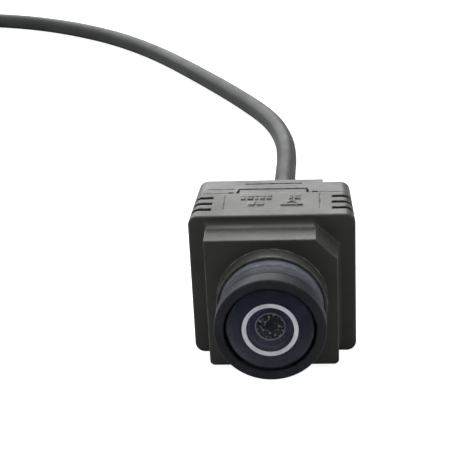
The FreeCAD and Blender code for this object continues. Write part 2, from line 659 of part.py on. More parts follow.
def cable_coil():
    body = new_body("cable_coil", "coil_x", "coil_y", "0")
    feature = body.newObject("PartDesign::Revolution", "coil_turning")
    bevel = "lead / 3"
    feature.Profile = draw(body, "XZ_Plane", [[
        (f"coil_inner + {bevel}", "coil_low"), (f"coil_outer - {bevel}", "coil_low"),
        ("coil_outer", f"coil_low + {bevel}"), ("coil_outer", f"coil_high - {bevel}"),
        (f"coil_outer - {bevel}", "coil_high"), (f"coil_inner + {bevel}", "coil_high"),
        ("coil_inner", f"coil_high - {bevel}"), ("coil_inner", f"coil_low + {bevel}"),
    ]])
    feature.ReferenceAxis = (feature.Profile[0], ["V_Axis"])
    feature.Angle = 360


def coil_tie():
    """Strap round the coil's turns, on the side that faces the camera."""
    body = new_body("coil_tie", "coil_x", "coil_y", "0")
    bevel = "lead / 3"

    def loop(grow):
        inner, outer = f"coil_inner - {grow}", f"coil_outer + {grow}"
        low, high = f"coil_low - {grow}", f"coil_high + {grow}"
        return [(f"{inner} + {bevel}", low), (f"{outer} - {bevel}", low), (outer, f"{low} + {bevel}"),
                (outer, f"{high} - {bevel}"), (f"{outer} - {bevel}", high), (f"{inner} + {bevel}", high),
                (inner, f"{high} - {bevel}"), (inner, f"{low} + {bevel}")]

    feature = body.newObject("PartDesign::Revolution", "tie_turning")
    feature.Profile = draw(body, "XZ_Plane", [loop("tie_thick"), loop("0")])
    feature.ReferenceAxis = (feature.Profile[0], ["V_Axis"])
    bind(feature, Angle="tie_angle")
    body.Placement.Rotation = Rotation(Vector(0, 0, 1), SIZES["tie_from"])


# ---------------------------------------------------------------- plug

def plug_body(label):
    return new_body(label, "plug_x", "plug_y", "plug_z")


def plug_turned(label, outline):
    turned(label, outline, "plug_x", "plug_y", "plug_z")


def plug_housing():
    body = plug_body("plug_housing")
    span_pad(body, [rectangle("-plug_half", "plug_half", "-plug_half", "plug_half")], "0", "plug_long")
    soften(body, "plug_corner", runs_back)
    key = rectangle("-key_half", "key_half", "-plug_half - key_rise", "-plug_half + plug_corner")
    span_pad(body, [key], "0", "key_long")
    near, far = "lever_half + ear_gap", "lever_half + ear_gap + ear_wide"
    for left, right in ((near, far), (f"-({far})", f"-({near})")):
        ear = rectangle(left, right, "plug_half - join", "pivot_z + ear_rise")
        span_pad(body, [ear], "ear_y - ear_half", "ear_y + ear_half")
    span_pocket(body, [("0", "0", "mouth")], "-past", "mouth_deep")
    span_pocket(body, [("0", "0", "plug_bore")], "mouth_deep - past", "plug_long + past")
    hole = draw(body, "YZ_Plane", [("ear_y", "pivot_z", "pivot + pivot_gap")], f"-({far} + ear_gap)")
    feature = body.newObject("PartDesign::Pocket", "pivot_hole")
    feature.Profile = hole
    feature.Reversed = True
    bind(feature, Length=f"2 * ({far} + ear_gap)")
    slot = rectangle("slot_y", "slot_y + slot_long", "-slot_tall / 2", "slot_tall / 2")
    pocket(body, draw(body, "YZ_Plane", [slot], "plug_half + past"), "past + lock_deep")


def latch_lever():
    """Lever over the plug: a hook at the front, a press pad at the rear and a pivot between the ears."""
    body = plug_body("latch_lever")
    low, high = "pivot_z - lever_thick / 2", "pivot_z + lever_thick / 2"
    side = [("hook_front", low), ("pad_rear", low), ("pad_rear", f"{high} + pad_rise"),
            ("pad_front", f"{high} + pad_rise"), ("pad_ramp", high), ("hook_rear", high),
            ("hook_top", f"{high} + hook_rise"), ("hook_front", f"{high} + hook_nose")]
    pad(body, draw(body, "YZ_Plane", [side], "-lever_half"), "2 * lever_half")
    pin_end = "lever_half + ear_gap + ear_wide"
    pin = draw(body, "YZ_Plane", [("ear_y", "pivot_z", "pivot")], f"-({pin_end})")
    pad(body, pin, f"2 * ({pin_end})")


def lock_slide():
    """Secondary lock: a bar in the plug's side slot with a head to pull it by."""
    body = plug_body("lock_slide")
    bar = rectangle("slot_y + slot_gap", "slot_y + slot_long - slot_gap", "-slot_tall / 2 + slot_gap",
                    "slot_tall / 2 - slot_gap")
    head = rectangle("slot_y - lock_grip", "slot_y + slot_long + lock_grip", "-slot_tall / 2 - lock_grip",
                     "slot_tall / 2 + lock_grip")
    pad(body, draw(body, "YZ_Plane", [bar], "plug_half - lock_deep + slot_gap"), "lock_deep")
    pad(body, draw(body, "YZ_Plane", [head], "plug_half + slot_gap"), "lock_head")


def make_plug():
    plug_housing()
    latch_lever()
    lock_slide()
    wall = "contact - contact_wall"
    front = "contact_tip + insulator_inset"
    plug_turned("plug_insulator", [(front, "pin"), (front, wall), ("core_end", wall), ("core_end", "pin")])
    flange_rear = "mouth_deep + contact_flange"
    plug_turned("plug_contact", [
        ("contact_tip", wall), ("contact_tip", "contact"), ("mouth_deep", "contact"),
        ("mouth_deep", "plug_bore"), (flange_rear, "plug_bore"), (flange_rear, "contact"),
        ("core_end", "contact"), ("core_end", wall),
    ])
    tip = "contact_tip + pin_inset"
    plug_turned("plug_pin", [(tip, "0"), (tip, "pin"), ("core_end", "pin"), ("core_end", "0")])
    plug_turned("plug_ferrule", [
        ("ferrule_front", "lead / 2"), ("ferrule_front", "ferrule"), ("ferrule_rear", "ferrule"),
        ("ferrule_rear", "lead / 2"),
    ])
    plug_turned("plug_boot", [
        ("plug_long", "ferrule"), ("plug_long", "boot_root"), ("boot_knee_y", "boot_knee"),
        ("boot_end_y", "boot_end"), ("boot_end_y", "lead / 2"), ("ferrule_rear", "lead / 2"),
        ("ferrule_rear", "ferrule"),
    ])
    plug_turned("plug_lead", [("core_end", "0"), ("core_end", "lead / 2"), ("plug_long", "lead / 2"),
                              ("plug_long", "0")])


def check_document():
    doc.recompute()
    for thing in doc.Objects:
        if "Invalid" in thing.State or "Error" in thing.State:
            raise RuntimeError(f"{thing.Label} failed: {thing.State}")
    for thing in nodes:
        if thing.Shape.isNull() or not thing.Shape.isValid() or thing.Shape.Volume <= 0:
            raise RuntimeError(f"{thing.Label} has no valid solid")


def export():
    os.makedirs("parts", exist_ok=True)
    for thing in nodes:
        thing.Shape.exportStep(f"parts/{thing.Label}.step")


fill_sheet()
front_housing()
housing_gasket()
rear_cover()
vent_membrane()
make_lens()
make_electronics()
make_lead_end()
lead_tube("cable", LEAD_ROUTE)
cable_coil()
coil_tie()
lead_tube("cable_tail", TAIL_ROUTE)
make_plug()
check_document()
export()
print(len(nodes), "nodes")
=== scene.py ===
"""Vehicle backup camera: finished surfaces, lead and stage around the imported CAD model."""

import math

import bmesh
import bpy
from mathutils import Matrix, Vector


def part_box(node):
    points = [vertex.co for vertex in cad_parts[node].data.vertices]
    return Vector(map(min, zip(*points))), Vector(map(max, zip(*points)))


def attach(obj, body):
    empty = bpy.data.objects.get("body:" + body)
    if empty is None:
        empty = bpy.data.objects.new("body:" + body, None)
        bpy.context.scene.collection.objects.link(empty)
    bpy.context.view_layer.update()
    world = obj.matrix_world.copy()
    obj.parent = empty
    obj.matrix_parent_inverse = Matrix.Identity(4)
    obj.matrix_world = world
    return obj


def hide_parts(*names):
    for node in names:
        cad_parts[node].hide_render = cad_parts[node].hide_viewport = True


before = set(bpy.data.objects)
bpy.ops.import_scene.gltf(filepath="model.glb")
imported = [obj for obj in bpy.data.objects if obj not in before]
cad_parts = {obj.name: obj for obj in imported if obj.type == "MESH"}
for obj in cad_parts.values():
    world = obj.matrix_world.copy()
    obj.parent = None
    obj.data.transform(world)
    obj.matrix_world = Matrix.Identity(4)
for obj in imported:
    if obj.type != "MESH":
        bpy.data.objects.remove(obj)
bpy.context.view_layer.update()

bl_info = {
    "name": "Backup camera",
    "version": (1, 0, 0),
    "blender": (4, 5, 0),
    "location": "View3D > Sidebar > Backup camera",
    "description": "Builds the finished surfaces, lead and stage of a vehicle backup camera",
    "category": "Object",
}

MM = 0.001
ROOT = "camera"
LENS_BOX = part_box("retaining_ring")
PLUG_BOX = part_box("plug_housing")
COIL_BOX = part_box("cable_coil")
RIM_FRONT = LENS_BOX[0].y
AXIS = (LENS_BOX[0].z + LENS_BOX[1].z) / 2  # height of the lens axis
LEAD_RADIUS = 2.2 * MM

# Lens pieces, in millimetres. Places are distances in front of the plate that the barrel stands on.
RIM_FACE, RIM_BACK, LIP_BACK = 16.0, 13.4, 15.4
RIM_RADIUS, LIP_RADIUS, THREAD_RADIUS = 8.46, 6.98, 7.6
BARREL_RADIUS, BAND_RADIUS, GLASS_SEAT_RADIUS = 8.1, 7.95, 7.15
BAND_FRONT, BAND_BACK, BAND_SLOPE = 12.15, 10.15, 0.05
SEAL_FRONT, SEAL_BACK, SEAL_RADIUS = 3.4, 2.2, 7.3
FLANGE_FRONT, FLANGE_BACK, FLANGE_RADIUS = -1.8, -3.0, 9.4
TAIL_BACK, TAIL_RADIUS, TAIL_BORE = -4.2, 6.0, 3.9
STEP_FRONT, STEP_BACK, STEP_RADIUS, STACK_RADIUS = 10.6, 2.0, 5.15, 6.2
GLASS_FACE, GLASS_BACK, GLASS_EDGE_RADIUS = 15.6, 14.5, 7.13
DOME_CURVE, DOME_OPENING = 9.0, 6.9
HOLLOW_CURVE, HOLLOW_RADIUS = 8.0, 2.95
TRIM_INNER, TRIM_OUTER = 3.05, 3.65
BAFFLE_BACK, MOUTH_RADIUS = 13.4, 2.0
PLATE = RIM_FRONT + RIM_FACE * MM


# ---------------------------------------------------------------- settings

class SurfaceSettings(bpy.types.PropertyGroup):
    """Colours and edge sizes of the camera's surfaces."""

    housing_colour: bpy.props.FloatVectorProperty(
        name="Housing colour", description="Moulded front housing", subtype="COLOR", size=3,
        default=(0.034, 0.034, 0.031), min=0, max=1)
    cover_colour: bpy.props.FloatVectorProperty(
        name="Cover colour", description="Moulded rear cover", subtype="COLOR", size=3,
        default=(0.062, 0.062, 0.059), min=0, max=1)
    anodised_colour: bpy.props.FloatVectorProperty(
        name="Barrel colour", description="Anodised lens barrel and rim", subtype="COLOR", size=3,
        default=(0.016, 0.017, 0.020), min=0, max=1)
    edge_round: bpy.props.FloatProperty(
        name="Edge rounding", description="Rounding of the moulded edges", unit="LENGTH",
        default=0.30 * MM, min=0)


class LeadSettings(bpy.types.PropertyGroup):
    """Size and colour of the lead and its coil."""

    lead_colour: bpy.props.FloatVectorProperty(
        name="Jacket colour", description="Jacket of the lead", subtype="COLOR", size=3,
        default=(0.040, 0.041, 0.040), min=0, max=1)
    turns: bpy.props.FloatProperty(
        name="Turns", description="Turns of the put-away coil", default=3.25, min=1, max=4)
    length: bpy.props.FloatProperty(
        name="Length", description="Length of the whole lead", unit="LENGTH", default=0.776, min=0.1)


class StageSettings(bpy.types.PropertyGroup):
    """Camera and light."""

    lens: bpy.props.FloatProperty(
        name="Focal length", description="Focal length of the view on a 36 mm sensor",
        default=94.9, min=10)
    key_power: bpy.props.FloatProperty(
        name="Key power", description="Power of the large light above and behind", unit="POWER",
        default=15.0, min=0)


# ---------------------------------------------------------------- shader groups

def new_group(name, inputs, outputs):
    tree = bpy.data.node_groups.new(name, "ShaderNodeTree")
    for label, kind, default in inputs:
        socket = tree.interface.new_socket(label, in_out="INPUT", socket_type=kind)
        socket.default_value = default
    for label, kind in outputs:
        tree.interface.new_socket(label, in_out="OUTPUT", socket_type=kind)
    return tree, tree.nodes.new("NodeGroupInput"), tree.nodes.new("NodeGroupOutput")


def add_node(tree, kind, settings=None, **links):
    """Add a node. Settings set its properties; links feed its inputs from sockets or plain values."""
    node = tree.nodes.new(kind)
    for name, value in (settings or {}).items():
        setattr(node, name, value)
    for name, value in links.items():
        key = int(name[1:]) if name[0] == "_" and name[1:].isdigit() else name.replace("_", " ")
        socket = node.inputs[key]
        if isinstance(value, bpy.types.NodeSocket):
            tree.links.new(value, socket)
        else:
            socket.default_value = value
    return node


def grain_group():
    """Fine moulded or blasted grain: a height for the bump and a roughness that varies with it."""
    tree, given, out = new_group(
        "Fine grain",
        [("Scale", "NodeSocketFloat", 4000.0), ("Roughness", "NodeSocketFloat", 0.4),
         ("Spread", "NodeSocketFloat", 0.08)],
        [("Height", "NodeSocketFloat"), ("Roughness", "NodeSocketFloat")])
    place = add_node(tree, "ShaderNodeTexCoord")
    fine = add_node(tree, "ShaderNodeTexNoise", Vector=place.outputs["Object"],
                    Scale=given.outputs["Scale"], Detail=3.0, Roughness=0.6)
    slow = add_node(tree, "ShaderNodeTexNoise", Vector=place.outputs["Object"], Scale=160.0,
                    Detail=4.0)
    swing = add_node(tree, "ShaderNodeMapRange", _0=slow.outputs[0], _1=0.3, _2=0.7, _3=-1.0,
                     _4=1.0)
    shift = add_node(tree, "ShaderNodeMath", {"operation": "MULTIPLY"}, _0=swing.outputs[0],
                     _1=given.outputs["Spread"])
    rough = add_node(tree, "ShaderNodeMath", {"operation": "ADD"}, _0=given.outputs["Roughness"],
                     _1=shift.outputs[0])
    tree.links.new(fine.outputs[0], out.inputs["Height"])
    tree.links.new(rough.outputs[0], out.inputs["Roughness"])
    return tree


def drift_group():
    """Slow change of tone over a surface, with a little pale dust on what faces up."""
    tree, given, out = new_group(
        "Tone and dust",
        [("Colour", "NodeSocketColor", (0.05, 0.05, 0.05, 1)),
         ("Second", "NodeSocketColor", (0.06, 0.06, 0.05, 1)),
         ("Scale", "NodeSocketFloat", 90.0), ("Dust", "NodeSocketFloat", 0.1)],
        [("Colour", "NodeSocketColor")])
    place = add_node(tree, "ShaderNodeTexCoord")
    slow = add_node(tree, "ShaderNodeTexNoise", Vector=place.outputs["Object"],
                    Scale=given.outputs["Scale"], Detail=5.0, Roughness=0.65)
    mask = add_node(tree, "ShaderNodeMapRange", _0=slow.outputs[0], _1=0.38, _2=0.66)
    mixed = add_node(tree, "ShaderNodeMix", {"data_type": "RGBA"}, _0=mask.outputs[0],
                     _6=given.outputs["Colour"], _7=given.outputs["Second"])
    geometry = add_node(tree, "ShaderNodeNewGeometry")
    facing = add_node(tree, "ShaderNodeSeparateXYZ", _0=geometry.outputs["Normal"])
    upward = add_node(tree, "ShaderNodeMapRange", _0=facing.outputs[2], _1=0.5, _2=1.0)
    specks = add_node(tree, "ShaderNodeTexNoise", Vector=place.outputs["Object"], Scale=900.0,
                      Detail=6.0, Roughness=0.75)
    speck_mask = add_node(tree, "ShaderNodeMapRange", _0=specks.outputs[0], _1=0.5, _2=0.75)
    both = add_node(tree, "ShaderNodeMath", {"operation": "MULTIPLY"}, _0=upward.outputs[0],
                    _1=speck_mask.outputs[0])
    amount = add_node(tree, "ShaderNodeMath", {"operation": "MULTIPLY"}, _0=both.outputs[0],
                      _1=given.outputs["Dust"])
    dusty = add_node(tree, "ShaderNodeMix", {"data_type": "RGBA"}, _0=amount.outputs[0],
                     _6=mixed.outputs[2], _7=(0.42, 0.42, 0.40, 1))
    tree.links.new(dusty.outputs[2], out.inputs["Colour"])
    return tree


def wear_and_highlight_group():
    """Slightly paler edges, partly rubbed wear and partly painted highlight: found where the rounded
    normal leaves the true one.
    """
    tree, given, out = new_group(
        "Edge wear and painted highlight",
        [("Colour", "NodeSocketColor", (0.05, 0.05, 0.05, 1)),
         ("Rounded", "NodeSocketVector", (0.0, 0.0, 1.0)), ("Amount", "NodeSocketFloat", 0.5)],
        [("Colour", "NodeSocketColor")])
    true_normal = add_node(tree, "ShaderNodeNewGeometry").outputs["Normal"]
    match = add_node(tree, "ShaderNodeVectorMath", {"operation": "DOT_PRODUCT"},
                     _0=given.outputs["Rounded"], _1=true_normal)
    edge = add_node(tree, "ShaderNodeMapRange", _0=match.outputs["Value"], _1=0.995, _2=0.85)
    place = add_node(tree, "ShaderNodeTexCoord")
    rub = add_node(tree, "ShaderNodeTexNoise", Vector=place.outputs["Object"], Scale=700.0,
                   Detail=4.0)
    rubbed = add_node(tree, "ShaderNodeMapRange", _0=rub.outputs[0], _1=0.35, _2=0.65)
    both = add_node(tree, "ShaderNodeMath", {"operation": "MULTIPLY"}, _0=edge.outputs[0],
                    _1=rubbed.outputs[0])
    amount = add_node(tree, "ShaderNodeMath", {"operation": "MULTIPLY"}, _0=both.outputs[0],
                      _1=given.outputs["Amount"])
    # Pale edge colour: part wear, part painted highlight.
    mixed = add_node(tree, "ShaderNodeMix", {"data_type": "RGBA"}, _0=amount.outputs[0],
                     _6=given.outputs["Colour"], _7=(0.36, 0.36, 0.35, 1))
    tree.links.new(mixed.outputs[2], out.inputs["Colour"])
    return tree


def radius_from_axis(tree, place):
    """Distance from the lens axis, and the separated coordinates it was worked out from."""
    parts = add_node(tree, "ShaderNodeSeparateXYZ", _0=place.outputs["Object"])
    level = add_node(tree, "ShaderNodeMath", {"operation": "SUBTRACT"}, _0=parts.outputs[2],
                     _1=AXIS)
    flat = add_node(tree, "ShaderNodeCombineXYZ", _0=parts.outputs[0], _1=level.outputs[0])
    radius = add_node(tree, "ShaderNodeVectorMath", {"operation": "LENGTH"}, _0=flat.outputs[0])
    return radius.outputs["Value"], parts


def turned_group():
    """Fine concentric lathe lines round the lens axis, as a height."""
    tree, given, out = new_group(
        "Turning lines", [("Pitch", "NodeSocketFloat", 0.00012)], [("Height", "NodeSocketFloat")])
    radius, parts = radius_from_axis(tree, add_node(tree, "ShaderNodeTexCoord"))
    both = add_node(tree, "ShaderNodeMath", {"operation": "ADD"}, _0=radius, _1=parts.outputs[1])
    lines = add_node(tree, "ShaderNodeMath", {"operation": "DIVIDE"}, _0=both.outputs[0],
                     _1=given.outputs["Pitch"])
    wave = add_node(tree, "ShaderNodeTexNoise", {"noise_dimensions": "1D"}, W=lines.outputs[0],
                    Scale=1.0, Detail=2.0)
    tree.links.new(wave.outputs[0], out.inputs["Height"])
    return tree


# ---------------------------------------------------------------- materials

# Span along Y where the barrel's colour is painted brighter towards the plate: painted light filling the
# collar's shadow.
ROOT_PAINTED_LIGHT_SPAN = (RIM_FRONT + 3.2 * MM, RIM_FRONT + 6.6 * MM)
# Radii of the black pupil, a painted shade at the centre of the second element.
PAINTED_PUPIL_EDGE = (0.60 * MM, 0.80 * MM)
TURNED_EDGE = 0.25 * MM
LATHE_PITCH = 0.1 * MM
BEVEL_SAMPLES = 6


def new_material(name, **values):
    """A material with one Principled shader whose own sockets hold the constant values."""
    material = bpy.data.materials.new(name)
    material.use_nodes = True
    shader = material.node_tree.nodes["Principled BSDF"]
    for key, value in values.items():
        shader.inputs[key.replace("_", " ")].default_value = value
    return material, material.node_tree, shader


def use_group(tree, group, **links):
    node = tree.nodes.new("ShaderNodeGroup")
    node.node_tree = group
    for name, value in links.items():
        socket = node.inputs[name]
        if isinstance(value, bpy.types.NodeSocket):
            tree.links.new(value, socket)
        else:
            socket.default_value = value
    return node


def bump_from(tree, shader, height, strength, distance):
    bump = add_node(tree, "ShaderNodeBump", Height=height, Strength=strength, Distance=distance)
    tree.links.new(bump.outputs[0], shader.inputs["Normal"])
    return bump


def moulded(name, colour, second, roughness, grain=4200.0, depth=0.02 * MM, dust=0.10, specular=0.5,
            drift=90.0, edge=0.0):
    """Moulded plastic or rubber: grain, slow change of tone, a little dust and softly rounded edges,
    made paler partly by wear and partly by a painted highlight.
    """
    material, tree, shader = new_material(name, Specular_IOR_Level=specular)
    tone = use_group(tree, bpy.data.node_groups["Tone and dust"], Colour=(*colour, 1),
                     Second=(*second, 1), Scale=drift, Dust=dust)
    grains = use_group(tree, bpy.data.node_groups["Fine grain"], Scale=grain, Roughness=roughness,
                       Spread=0.06)
    tree.links.new(grains.outputs["Roughness"], shader.inputs["Roughness"])
    bump = bump_from(tree, shader, grains.outputs["Height"], 0.35, depth)
    if not edge:
        tree.links.new(tone.outputs[0], shader.inputs["Base Color"])
        return material
    round_over = add_node(tree, "ShaderNodeBevel", {"samples": BEVEL_SAMPLES}, Radius=edge)
    tree.links.new(round_over.outputs[0], bump.inputs["Normal"])
    wear_and_highlight = use_group(tree, bpy.data.node_groups["Edge wear and painted highlight"], Colour=tone.outputs[0],
                     Rounded=round_over.outputs[0], Amount=0.9)
    tree.links.new(wear_and_highlight.outputs[0], shader.inputs["Base Color"])
    return material


def metal(name, colour, roughness, grain=2600.0):
    material, tree, shader = new_material(name, Metallic=1.0)
    tone = use_group(tree, bpy.data.node_groups["Tone and dust"], Colour=(*colour, 1),
                     Second=tuple(0.8 * part for part in colour) + (1,), Scale=500.0, Dust=0.02)
    grains = use_group(tree, bpy.data.node_groups["Fine grain"], Scale=grain, Roughness=roughness,
                       Spread=0.05)
    tree.links.new(tone.outputs[0], shader.inputs["Base Color"])
    tree.links.new(grains.outputs["Roughness"], shader.inputs["Roughness"])
    bump_from(tree, shader, grains.outputs["Height"], 0.2, 0.01 * MM)
    return material


def anodised(name, colour, roughness, specular, tint=1.0, root_painted_light=1.0):
    """Turned metal, anodised black: lathe lines under a satin skin, paler edges that are partly wear and
    partly painted highlight, and painted light that makes the colour brighter towards the plate.
    """
    material, tree, shader = new_material(name, Metallic=0.0, Specular_IOR_Level=specular,
                                          Specular_Tint=(0.85 * tint, 0.90 * tint, tint, 1))
    tone = use_group(tree, bpy.data.node_groups["Tone and dust"], Colour=(*colour, 1),
                     Second=tuple(1.5 * part for part in colour) + (1,), Scale=240.0, Dust=0.04)
    grains = use_group(tree, bpy.data.node_groups["Fine grain"], Scale=5200.0, Roughness=roughness,
                       Spread=0.05)
    lines = use_group(tree, bpy.data.node_groups["Turning lines"], Pitch=LATHE_PITCH)
    place = add_node(tree, "ShaderNodeTexCoord")
    along = add_node(tree, "ShaderNodeSeparateXYZ", _0=place.outputs["Object"])
    # Painted light: the colour is scaled from 1 at the front of the span up to the given factor behind
    # it, towards the plate, filling the shadow the collar casts on the rear of the barrel.
    painted_light_gain = add_node(tree, "ShaderNodeMapRange", _0=along.outputs[1], _1=ROOT_PAINTED_LIGHT_SPAN[0],
                        _2=ROOT_PAINTED_LIGHT_SPAN[1], _3=1.0, _4=root_painted_light)
    shade = add_node(tree, "ShaderNodeVectorMath", {"operation": "SCALE"}, _0=tone.outputs[0],
                     Scale=painted_light_gain.outputs[0])
    tree.links.new(grains.outputs["Roughness"], shader.inputs["Roughness"])
    bump = bump_from(tree, shader, lines.outputs[0], 0.3, 0.012 * MM)
    round_over = add_node(tree, "ShaderNodeBevel", {"samples": BEVEL_SAMPLES}, Radius=TURNED_EDGE)
    tree.links.new(round_over.outputs[0], bump.inputs["Normal"])
    # Paler edges: partly wear, partly painted highlight.
    wear_and_highlight = use_group(tree, bpy.data.node_groups["Edge wear and painted highlight"], Colour=shade.outputs[0],
                     Rounded=round_over.outputs[0], Amount=0.5)
    tree.links.new(wear_and_highlight.outputs[0], shader.inputs["Base Color"])
    return material


def lens_glass(name, tint):
    return new_material(name, Base_Color=(*tint, 1), Roughness=0.0, IOR=1.5, Transmission_Weight=1.0,
                        Specular_IOR_Level=0.06, Specular_Tint=(0.14, 0.17, 0.24, 1))[0]


def coated_element(name):
    """Second element as it shows from outside: dark coated glass with pale grey-green blotches that are
    painted glints, standing in for reflections inside the lens, and a black pupil that is painted shade.
    """
    material, tree, shader = new_material(name, Specular_IOR_Level=0.08)
    place = add_node(tree, "ShaderNodeTexCoord")
    radius, _ = radius_from_axis(tree, place)
    # Painted glints: the paler blotches stand in for reflections off the lens's inner surfaces.
    painted_glint_noise = add_node(tree, "ShaderNodeTexNoise", Vector=place.outputs["Object"], Scale=2300.0,
                        Detail=3.0, Roughness=0.6)
    painted_glint_tones = add_node(tree, "ShaderNodeValToRGB", Fac=painted_glint_noise.outputs[0])
    ramp = painted_glint_tones.color_ramp
    ramp.elements[0].position, ramp.elements[0].color = 0.40, (0.004, 0.005, 0.004, 1)
    ramp.elements[1].position, ramp.elements[1].color = 0.66, (0.34, 0.37, 0.27, 1)
    middle = ramp.elements.new(0.56)
    middle.color = (0.010, 0.013, 0.009, 1)
    # Painted shade: a near-black disc at the centre stands in for the dark inside of the lens seen
    # through its pupil.
    pupil = add_node(tree, "ShaderNodeMapRange", _0=radius, _1=PAINTED_PUPIL_EDGE[0], _2=PAINTED_PUPIL_EDGE[1])
    mixed = add_node(tree, "ShaderNodeMix", {"data_type": "RGBA"}, _0=pupil.outputs[0],
                     _6=(0.003, 0.003, 0.003, 1), _7=painted_glint_tones.outputs[0])
    tree.links.new(mixed.outputs[2], shader.inputs["Base Color"])
    shader.inputs["Roughness"].default_value = 0.18
    return material


def woven(name, colour):
    """Hook-and-loop strap: close crossing threads."""
    material, tree, shader = new_material(name, Sheen_Weight=0.3, Sheen_Roughness=0.5)
    place = add_node(tree, "ShaderNodeTexCoord")
    across = add_node(tree, "ShaderNodeTexWave", {"bands_direction": "Z"},
                      Vector=place.outputs["Object"], Scale=900.0, Distortion=0.6)
    along = add_node(tree, "ShaderNodeTexWave", {"bands_direction": "X"},
                     Vector=place.outputs["Object"], Scale=900.0, Distortion=0.6)
    weave = add_node(tree, "ShaderNodeMath", {"operation": "MAXIMUM"}, _0=across.outputs["Fac"],
                     _1=along.outputs["Fac"])
    tone = add_node(tree, "ShaderNodeMix", {"data_type": "RGBA"}, _0=weave.outputs[0],
                    _6=tuple(0.4 * part for part in colour) + (1,), _7=(*colour, 1))
    tree.links.new(tone.outputs[2], shader.inputs["Base Color"])
    shader.inputs["Roughness"].default_value = 0.85
    bump_from(tree, shader, weave.outputs[0], 0.7, 0.05 * MM)
    return material


def circuit(name):
    """Green solder mask with copper traces and pads showing through."""
    material, tree, shader = new_material(name, Roughness=0.32, Coat_Weight=0.4)
    place = add_node(tree, "ShaderNodeTexCoord")
    cells = add_node(tree, "ShaderNodeTexVoronoi",
                     {"distance": "MANHATTAN", "feature": "DISTANCE_TO_EDGE"},
                     Vector=place.outputs["Object"], Scale=700.0)
    traces = add_node(tree, "ShaderNodeMapRange", _0=cells.outputs["Distance"], _1=0.06, _2=0.10)
    tone = add_node(tree, "ShaderNodeMix", {"data_type": "RGBA"}, _0=traces.outputs[0],
                    _6=(0.05, 0.26, 0.10, 1), _7=(0.012, 0.10, 0.04, 1))
    tree.links.new(tone.outputs[2], shader.inputs["Base Color"])
    bump_from(tree, shader, traces.outputs[0], 0.4, 0.02 * MM)
    return material


def make_materials(surface, lead):
    grain_group()
    drift_group()
    wear_and_highlight_group()
    turned_group()
    warm = tuple(part * tint for part, tint in zip(surface.housing_colour, (1.25, 1.25, 1.12)))
    pale = tuple(1.2 * part for part in surface.cover_colour)
    return {
        "housing": moulded("moulded housing", surface.housing_colour, warm, 0.44, specular=0.29,
                           edge=surface.edge_round),
        "cover": moulded("moulded cover", surface.cover_colour, pale, 0.42, specular=0.20,
                         edge=surface.edge_round),
        # The barrel's colour is painted four times brighter towards the plate: painted light in place of
        # the collar's shadow.
        "barrel": anodised("black anodised", tuple(1.1 * part for part in surface.anodised_colour), 0.52,
                           0.045, tint=0.55, root_painted_light=4.0),
        "rim": anodised("rim finish", tuple(1.3 * part for part in surface.anodised_colour), 0.50, 0.17,
                        tint=0.40),
        "glass": lens_glass("front glass", (0.93, 0.94, 1.0)),
        "inner_glass": lens_glass("lens elements", (0.85, 0.95, 0.88)),
        "filter": lens_glass("infrared filter", (0.55, 0.85, 0.9)),
        "trim": metal("silver trim", (0.90, 0.90, 0.90), 0.35),
        "bead": metal("dull bead", (0.30, 0.31, 0.32), 0.45),
        "baffle": moulded("dark baffle", (0.030, 0.029, 0.048), (0.034, 0.044, 0.064), 0.60,
                          grain=5200.0, depth=0.002 * MM, dust=0.0, specular=0.05, drift=260.0),
        "black": moulded("black plastic", (0.012, 0.012, 0.012), (0.016, 0.016, 0.016), 0.5, dust=0.0),
        "element": coated_element("coated element"),
        "rubber": moulded("moulded rubber", (0.020, 0.020, 0.020), (0.030, 0.030, 0.029), 0.62,
                          grain=2600.0, depth=0.03 * MM, dust=0.16),
        "board": circuit("solder mask"),
        "chip": moulded("chip compound", (0.018, 0.018, 0.020), (0.022, 0.022, 0.024), 0.55,
                        grain=5200.0),
        "steel": metal("plated steel", (0.55, 0.55, 0.56), 0.32),
        "brass": metal("contact metal", (0.80, 0.60, 0.28), 0.22),
        "jacket": moulded("lead jacket", lead.lead_colour,
                          tuple(1.3 * part for part in lead.lead_colour), 0.46, grain=3000.0,
                          depth=0.012 * MM, dust=0.06, specular=0.13),
        "strap": woven("strap weave", (0.035, 0.035, 0.037)),
        "plug": moulded("plug plastic", (0.022, 0.022, 0.024), (0.028, 0.028, 0.030), 0.38,
                        grain=3800.0, edge=surface.edge_round),
        "lock": moulded("lock plastic", (0.50, 0.50, 0.47), (0.46, 0.46, 0.43), 0.42,
                        grain=3800.0, dust=0.05, edge=surface.edge_round),
        "membrane": moulded("vent membrane", (0.62, 0.62, 0.60), (0.55, 0.55, 0.53), 0.8,
                            grain=6000.0, depth=0.03 * MM),
    }


# ---------------------------------------------------------------- mesh tools

def add_object(name, data, material):
    piece = bpy.data.objects.new(name, data)
    bpy.context.scene.collection.objects.link(piece)
    piece.data.materials.clear()
    piece.data.materials.append(material)
    return piece


def smooth(mesh, degrees=32):
    mesh.shade_smooth()
    mesh.set_sharp_from_angle(angle=math.radians(degrees))


def finish_piece(piece, slot, *nodes, body=ROOT):
    if nodes:
        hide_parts(*nodes)
    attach(piece, body)
    return piece


def rounded(corners, steps=5):
    """Round the corners of an outline: each corner is (along, radius, rounding)."""
    points = []
    count = len(corners)
    for index, (along, radius, round_by) in enumerate(corners):
        here = Vector((along, radius))
        if round_by <= 0 or index in (0, count - 1):
            points.append(here)
            continue
        before = Vector(corners[index - 1][:2]) - here
        after = Vector(corners[index + 1][:2]) - here
        cut = min(round_by, before.length * 0.45, after.length * 0.45)
        start = here + before.normalized() * cut
        end = here + after.normalized() * cut
        for step in range(steps + 1):
            part = step / steps
            points.append(start * (1 - part) ** 2 + here * (2 * part * (1 - part)) + end * part ** 2)
    return points


